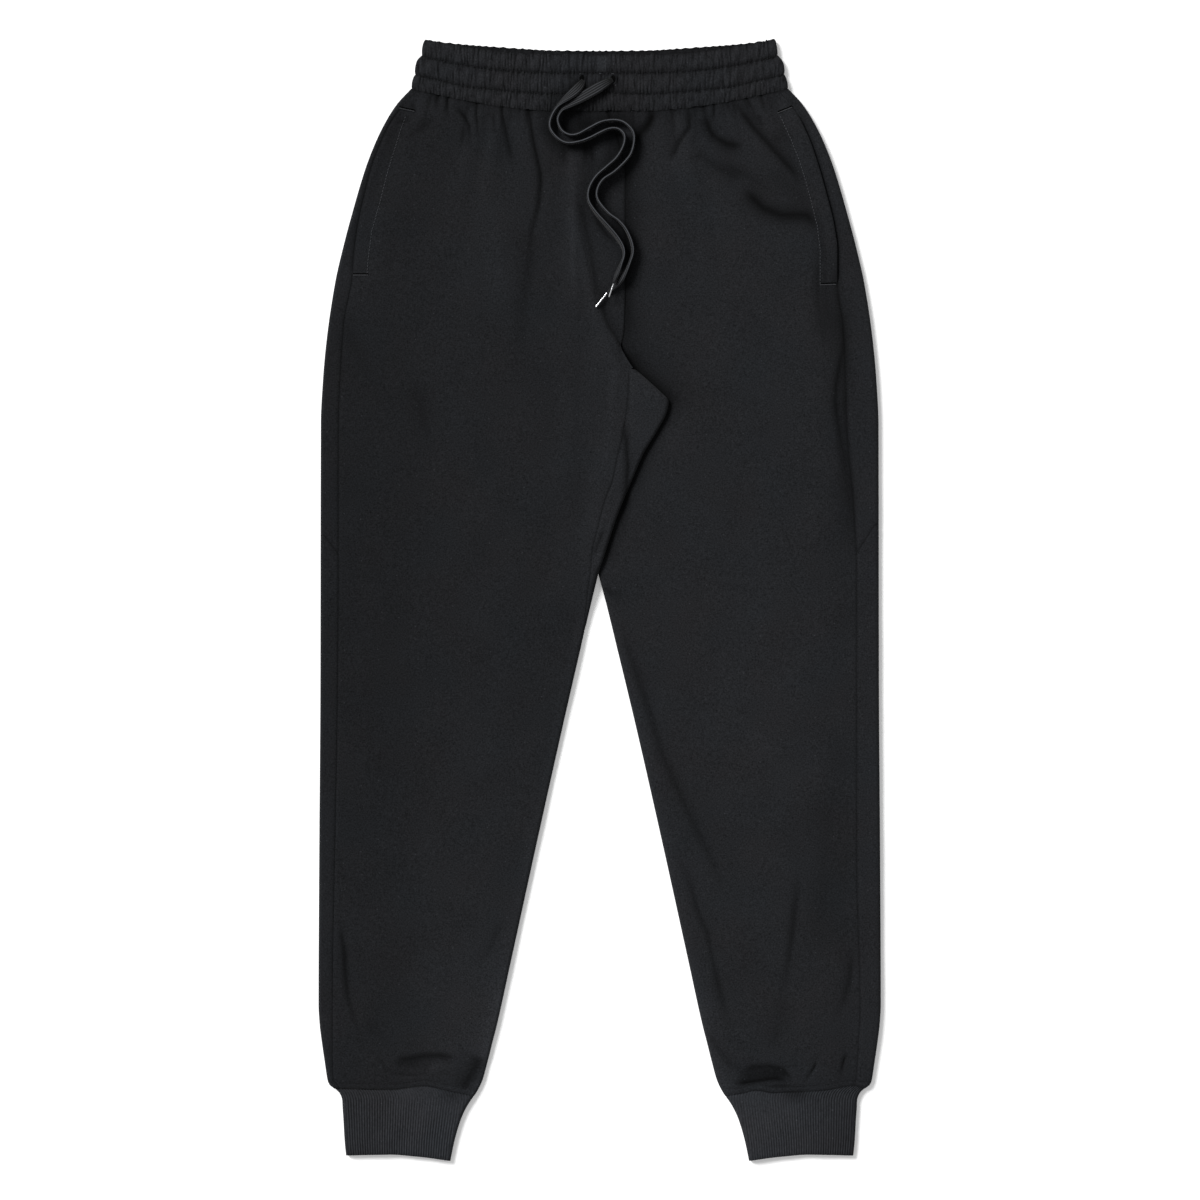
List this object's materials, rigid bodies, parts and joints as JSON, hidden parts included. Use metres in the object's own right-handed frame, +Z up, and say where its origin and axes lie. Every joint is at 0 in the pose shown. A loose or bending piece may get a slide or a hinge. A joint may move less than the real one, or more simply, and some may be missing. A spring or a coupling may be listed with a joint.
{
  "type": "jogger sweatpants, laid flat",
  "caption": "Jogger sweatpants laid flat: gathered waistband with a loose drawcord, tapered fleece legs, side-seam pockets and rib-knit ankle cuffs.",
  "frame": {"origin": "middle of the flat outline, on the surface it lies on", "axes": "+X to the right as seen from above (the wearer's left), +Y from the cuffs to the waistband, +Z up out of the front"},
  "size_m": [0.5148, 1.0302, 0.0182],
  "materials": {
    "fleece": "black sweatshirt fleece, matt and slightly brushed",
    "rib_knit": "black rib knit, fine ribs along the leg",
    "drawcord": "charcoal flat tubular braid, slight sheen",
    "metal_tip": "bright silver-coloured metal"
  },
  "bodies": {
    "root": {"front_left": "fleece", "front_right": "fleece", "back_upper_left": "fleece", "back_upper_right": "fleece", "back_lower_left": "fleece", "back_lower_right": "fleece", "crotch_fold_left": "fleece", "waistband": "fleece", "pocket_bag_left": "fleece", "pocket_bag_right": "fleece", "cuff_left": "rib_knit", "cuff_right": "rib_knit", "drawcord_left": "drawcord", "drawcord_right": "drawcord", "cord_tip_left": "metal_tip", "cord_tip_right": "metal_tip"}
  },
  "joints": []
}
